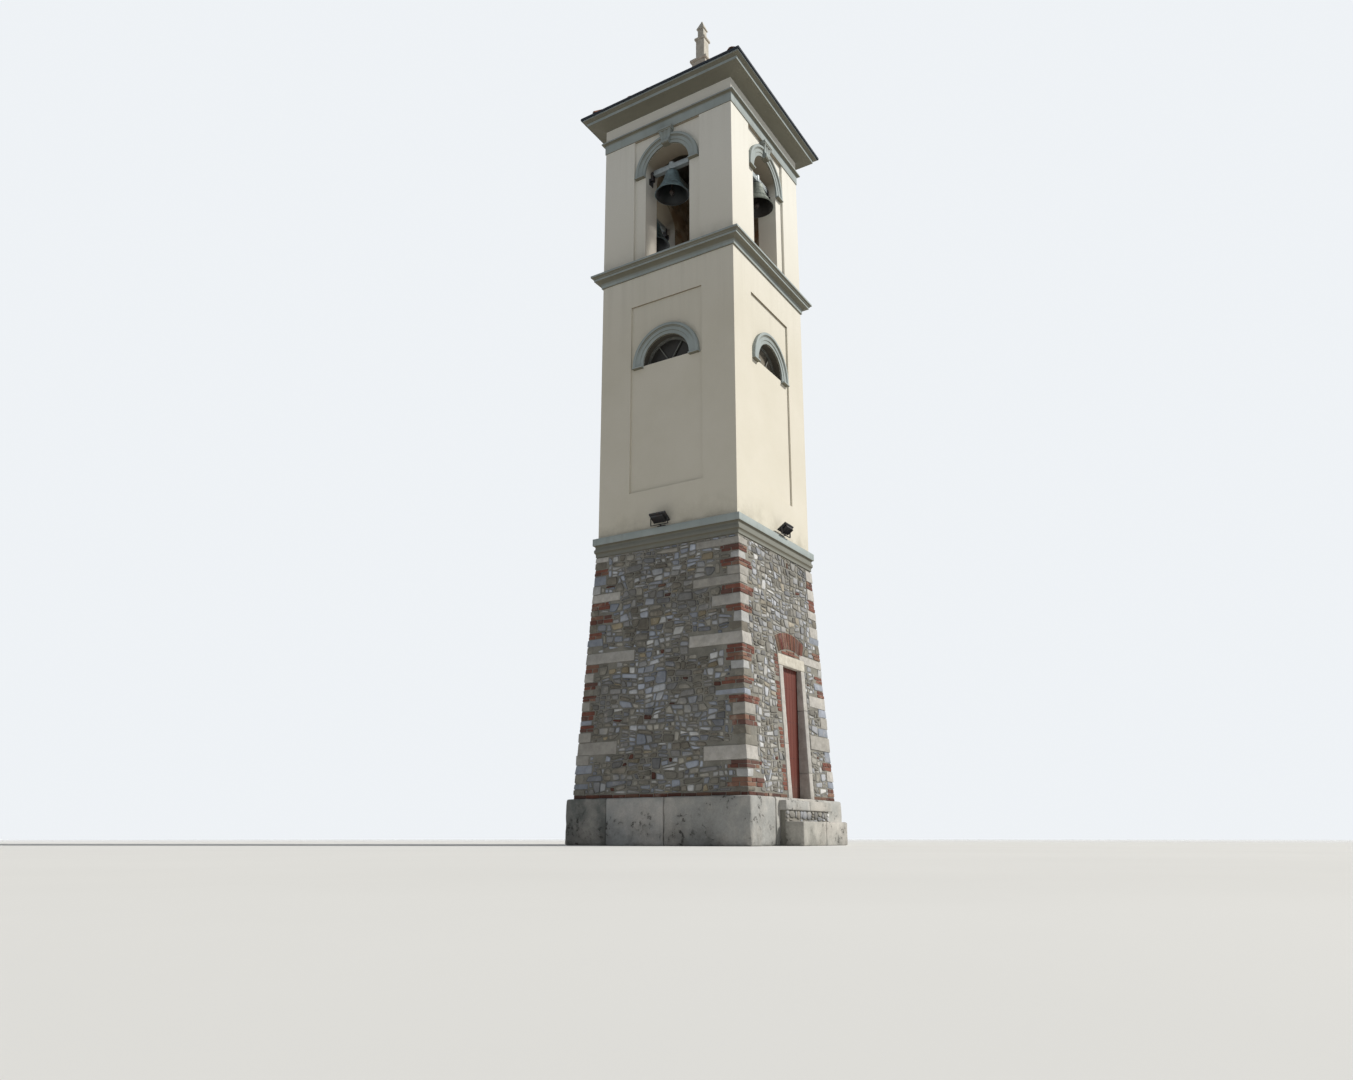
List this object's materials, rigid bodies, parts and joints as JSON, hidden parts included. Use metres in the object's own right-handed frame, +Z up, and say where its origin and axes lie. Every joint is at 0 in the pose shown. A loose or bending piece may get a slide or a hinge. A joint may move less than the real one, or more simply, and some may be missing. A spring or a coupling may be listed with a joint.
{
  "type": "bell tower",
  "caption": "Square bell tower with a battered stone base, a plastered shaft with half-round windows, and an open belfry with round arches and hanging bells.",
  "frame": {"origin": "middle of the plan at ground level, under the plinth", "axes": "+Z up, the door looks along -Y, the second bell hangs on the -X side"},
  "size_m": [3.542, 3.911, 16.84],
  "materials": {
    "pale_stone": "weathered travertine and limestone, rounded edges",
    "rubble": "rubble masonry in sand mortar",
    "brick": "old red bricks",
    "plaster": "smooth cream plaster",
    "trim": "mouldings painted blue-grey",
    "floor_brick": "terracotta paving",
    "roof_tiles": "terracotta tiles with a dark metal edge",
    "frame_paint": "dark grey paint",
    "window_glass": "dark window glass",
    "door_paint": "red-brown painted planks",
    "iron": "black iron, a little rust",
    "yoke_steel": "grey galvanised steel",
    "bell_bronze": "bronze with a blue-grey patina",
    "bell_green": "bronze with a grey-green patina",
    "clapper_iron": "dark wrought iron"
  },
  "bodies": {
    "tower": {"plinth": "pale_stone", "ground_floor": "floor_brick", "landing_slab": "pale_stone", "landing_base": "rubble", "lower_step": "pale_stone", "base_wall_front_left": "rubble", "base_wall_front_right": "rubble", "base_wall_over_door": "rubble", "base_wall_left": "rubble", "base_wall_right": "rubble", "base_wall_back": "rubble", "door_jambs": "pale_stone", "door_lintel": "pale_stone", "door_arch": "brick", "base_cornice": "trim", "shaft_floor": "floor_brick", "shaft_wall_front": "plaster", "shaft_wall_left": "plaster", "shaft_wall_right": "plaster", "shaft_wall_back": "plaster", "lunette_surrounds": "trim", "lunette_frames": "frame_paint", "lunette_glass": "window_glass", "string_course": "trim", "belfry_floor": "floor_brick", "belfry_wall_front": "plaster", "belfry_wall_left": "plaster", "belfry_wall_right": "plaster", "belfry_wall_back": "plaster", "belfry_archivolts": "trim", "keystones": "trim", "architrave": "trim", "frieze": "plaster", "top_cornice": "trim", "roof": "roof_tiles", "pinnacle": "pale_stone", "floodlights": "iron", "bell_bearings": "iron", "door_pintles": "iron"},
    "door": {"door_leaf": "door_paint", "door_hardware": "iron"},
    "front_bell": {"front_bell": "bell_green", "front_yoke": "yoke_steel"},
    "front_clapper": {"front_clapper": "clapper_iron"},
    "left_bell": {"left_bell": "bell_bronze", "left_yoke": "yoke_steel"},
    "left_clapper": {"left_clapper": "clapper_iron"},
    "back_bell": {"back_bell": "bell_bronze", "back_yoke": "yoke_steel"},
    "back_clapper": {"back_clapper": "clapper_iron"}
  },
  "joints": [
    {"name": "door_hinge", "type": "hinge", "parent": "tower", "child": "door", "pos_m": [0.647, -1.378, 1.74], "axis": [0, 0, -1], "range_deg": [0, 95]},
    {"name": "front_bell_swing", "type": "hinge", "parent": "tower", "child": "front_bell", "pos_m": [0, -1.185, 12.5], "axis": [1, 0, 0], "range_deg": [-60, 60]},
    {"name": "front_clapper_swing", "type": "hinge", "parent": "front_bell", "child": "front_clapper", "pos_m": [0, -1.185, 12.298], "axis": [1, 0, 0], "range_deg": [-28, 28]},
    {"name": "left_bell_swing", "type": "hinge", "parent": "tower", "child": "left_bell", "pos_m": [-1.185, 0, 12.5], "axis": [0, 1, 0], "range_deg": [-60, 60]},
    {"name": "left_clapper_swing", "type": "hinge", "parent": "left_bell", "child": "left_clapper", "pos_m": [-1.185, 0, 12.298], "axis": [0, 1, 0], "range_deg": [-28, 28]},
    {"name": "back_bell_swing", "type": "hinge", "parent": "tower", "child": "back_bell", "pos_m": [0, 1.185, 12.5], "axis": [1, 0, 0], "range_deg": [-60, 60]},
    {"name": "back_clapper_swing", "type": "hinge", "parent": "back_bell", "child": "back_clapper", "pos_m": [0, 1.185, 12.298], "axis": [1, 0, 0], "range_deg": [-28, 28]}
  ]
}
